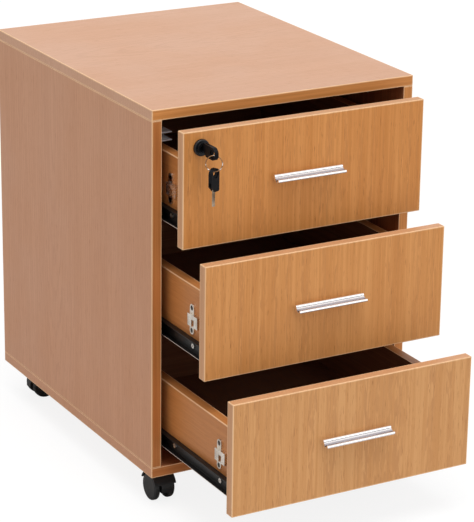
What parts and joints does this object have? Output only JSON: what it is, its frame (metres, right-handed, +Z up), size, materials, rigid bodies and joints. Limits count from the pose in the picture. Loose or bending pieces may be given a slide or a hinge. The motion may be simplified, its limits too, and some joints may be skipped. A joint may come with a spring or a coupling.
{
  "type": "drawer pedestal",
  "caption": "Under-desk pedestal on castors: a wood-laminate carcass with lockable drawers on ball-bearing slides, chrome lip handles and a folding key in a front lock.",
  "frame": {"origin": "on the floor under the middle of the carcass", "axes": "+Z up, +Y from the drawer fronts to the back, +X to the right seen from the front"},
  "size_m": [0.41, 0.7167, 0.582],
  "materials": {
    "carcass_laminate": "satin wood-grain laminate",
    "front_laminate": "satin wood-grain laminate",
    "drawer_laminate": "satin wood-grain laminate",
    "backing_board": "laminated hardboard",
    "dowel_wood": "raw beech",
    "rail_black": "semi-gloss black",
    "zinc": "zinc plated",
    "screw_steel": "nickel plated",
    "handle_chrome": "satin chrome",
    "lock_black": "semi-gloss black",
    "key_steel": "nickel plated",
    "ring_wire": "bright wire",
    "key_black": "moulded black",
    "castor_plastic": "moulded black",
    "wheel_plastic": "moulded black"
  },
  "bodies": {
    "cabinet": {"top_panel": "carcass_laminate", "bottom_panel": "carcass_laminate", "left_side_panel": "carcass_laminate", "right_side_panel": "carcass_laminate", "back_panel": "backing_board", "carcass_cam_fittings": "zinc", "carcass_dowels": "dowel_wood", "outer_rails": "rail_black", "cabinet_screws": "screw_steel", "castor_plates": "zinc", "lock_bar_guides": "zinc"},
    "top_drawer": {"top_drawer_front": "front_laminate", "top_drawer_left_side": "drawer_laminate", "top_drawer_right_side": "drawer_laminate", "top_drawer_back": "drawer_laminate", "top_drawer_bottom": "backing_board", "top_drawer_handle": "handle_chrome", "top_drawer_inner_rails": "rail_black", "top_drawer_screws": "screw_steel", "top_drawer_lock_catch": "zinc", "top_drawer_cam_fittings": "zinc", "lock_housing": "lock_black"},
    "middle_drawer": {"middle_drawer_front": "front_laminate", "middle_drawer_left_side": "drawer_laminate", "middle_drawer_right_side": "drawer_laminate", "middle_drawer_back": "drawer_laminate", "middle_drawer_bottom": "backing_board", "middle_drawer_handle": "handle_chrome", "middle_drawer_inner_rails": "rail_black", "middle_drawer_screws": "screw_steel", "middle_drawer_lock_catch": "zinc", "middle_drawer_cam_fittings": "zinc"},
    "bottom_drawer": {"bottom_drawer_front": "front_laminate", "bottom_drawer_left_side": "drawer_laminate", "bottom_drawer_right_side": "drawer_laminate", "bottom_drawer_back": "drawer_laminate", "bottom_drawer_bottom": "backing_board", "bottom_drawer_handle": "handle_chrome", "bottom_drawer_inner_rails": "rail_black", "bottom_drawer_screws": "screw_steel", "bottom_drawer_lock_catch": "zinc", "bottom_drawer_cam_fittings": "zinc"},
    "top_ball_cages": {"top_ball_cages": "screw_steel"},
    "middle_ball_cages": {"middle_ball_cages": "screw_steel"},
    "bottom_ball_cages": {"bottom_ball_cages": "screw_steel"},
    "lock_plug": {"lock_plug": "key_steel", "inserted_key_blade": "key_steel"},
    "inserted_key_bow": {"inserted_key_bow": "key_black"},
    "key_ring": {"key_ring": "ring_wire"},
    "spare_key_bow": {"spare_key_bow": "key_black"},
    "spare_key_blade": {"spare_key_blade": "key_steel"},
    "lock_bar": {"lock_bar": "zinc"},
    "front_left_castor_hood": {"front_left_castor_hood": "castor_plastic"},
    "front_left_castor_wheels": {"front_left_castor_wheels": "wheel_plastic"},
    "front_right_castor_hood": {"front_right_castor_hood": "castor_plastic"},
    "front_right_castor_wheels": {"front_right_castor_wheels": "wheel_plastic"},
    "rear_left_castor_hood": {"rear_left_castor_hood": "castor_plastic"},
    "rear_left_castor_wheels": {"rear_left_castor_wheels": "wheel_plastic"},
    "rear_right_castor_hood": {"rear_right_castor_hood": "castor_plastic"},
    "rear_right_castor_wheels": {"rear_right_castor_wheels": "wheel_plastic"}
  },
  "joints": [
    {"name": "top_drawer_slide", "type": "slide", "parent": "cabinet", "child": "top_drawer", "axis": [0, -1, 0], "range_m": [-0.055, 0.235]},
    {"name": "top_ball_cage_slide", "type": "slide", "parent": "cabinet", "child": "top_ball_cages", "axis": [0, -1, 0], "range_m": [-0.0275, 0.1175]},
    {"name": "middle_drawer_slide", "type": "slide", "parent": "cabinet", "child": "middle_drawer", "axis": [0, -1, 0], "range_m": [-0.118, 0.172]},
    {"name": "middle_ball_cage_slide", "type": "slide", "parent": "cabinet", "child": "middle_ball_cages", "axis": [0, -1, 0], "range_m": [-0.059, 0.086]},
    {"name": "bottom_drawer_slide", "type": "slide", "parent": "cabinet", "child": "bottom_drawer", "axis": [0, -1, 0], "range_m": [-0.197, 0.093]},
    {"name": "bottom_ball_cage_slide", "type": "slide", "parent": "cabinet", "child": "bottom_ball_cages", "axis": [0, -1, 0], "range_m": [-0.0985, 0.0465]},
    {"name": "lock_turn", "type": "hinge", "parent": "top_drawer", "child": "lock_plug", "pos_m": [-0.161, -0.305, 0.5405], "axis": [0, 1, 0], "range_deg": [0, 90]},
    {"name": "lock_bar_lift", "type": "slide", "parent": "cabinet", "child": "lock_bar", "axis": [0, 0, 1], "range_m": [0, 0.01131]},
    {"name": "key_fold", "type": "hinge", "parent": "lock_plug", "child": "inserted_key_bow", "pos_m": [-0.161, -0.3225, 0.545], "axis": [-1, 0, 0], "range_deg": [0, 90]},
    {"name": "ring_swing", "type": "hinge", "parent": "inserted_key_bow", "child": "key_ring", "pos_m": [-0.161, -0.341, 0.541], "axis": [-1, 0, 0], "range_deg": [-15, 60]},
    {"name": "spare_key_swing", "type": "hinge", "parent": "key_ring", "child": "spare_key_bow", "pos_m": [-0.161, -0.341, 0.5148], "axis": [-0.4226, 0.9063, 0], "range_deg": [-30, 30]},
    {"name": "spare_key_fold", "type": "hinge", "parent": "spare_key_bow", "child": "spare_key_blade", "pos_m": [-0.15737, -0.33931, 0.4963], "axis": [0.4226, -0.9063, 0], "range_deg": [0, 90]},
    {"name": "front_left_castor_swivel", "type": "hinge", "parent": "cabinet", "child": "front_left_castor_hood", "pos_m": [-0.173, -0.196, 0.05], "axis": [0, 0, 1], "continuous": true},
    {"name": "front_left_castor_roll", "type": "hinge", "parent": "front_left_castor_hood", "child": "front_left_castor_wheels", "pos_m": [-0.173, -0.21, 0.02], "axis": [1, 0, 0], "continuous": true},
    {"name": "front_right_castor_swivel", "type": "hinge", "parent": "cabinet", "child": "front_right_castor_hood", "pos_m": [0.173, -0.196, 0.05], "axis": [0, 0, 1], "continuous": true},
    {"name": "front_right_castor_roll", "type": "hinge", "parent": "front_right_castor_hood", "child": "front_right_castor_wheels", "pos_m": [0.17662, -0.20952, 0.02], "axis": [0.9659, 0.2588, 0], "continuous": true},
    {"name": "rear_left_castor_swivel", "type": "hinge", "parent": "cabinet", "child": "rear_left_castor_hood", "pos_m": [-0.173, 0.213, 0.05], "axis": [0, 0, 1], "continuous": true},
    {"name": "rear_left_castor_roll", "type": "hinge", "parent": "rear_left_castor_hood", "child": "rear_left_castor_wheels", "pos_m": [-0.159, 0.213, 0.02], "axis": [0, 1, 0], "continuous": true},
    {"name": "rear_right_castor_swivel", "type": "hinge", "parent": "cabinet", "child": "rear_right_castor_hood", "pos_m": [0.173, 0.213, 0.05], "axis": [0, 0, 1], "continuous": true},
    {"name": "rear_right_castor_roll", "type": "hinge", "parent": "rear_right_castor_hood", "child": "rear_right_castor_wheels", "pos_m": [0.15984, 0.20821, 0.02], "axis": [0.342, -0.9397, 0], "continuous": true}
  ],
  "couplings": [
    {"joint": "top_ball_cage_slide", "follows": "top_drawer_slide", "ratio": 0.5},
    {"joint": "middle_ball_cage_slide", "follows": "middle_drawer_slide", "ratio": 0.5},
    {"joint": "bottom_ball_cage_slide", "follows": "bottom_drawer_slide", "ratio": 0.5},
    {"joint": "lock_turn", "follows": "lock_bar_lift", "rad_per_m": 138.84}
  ]
}
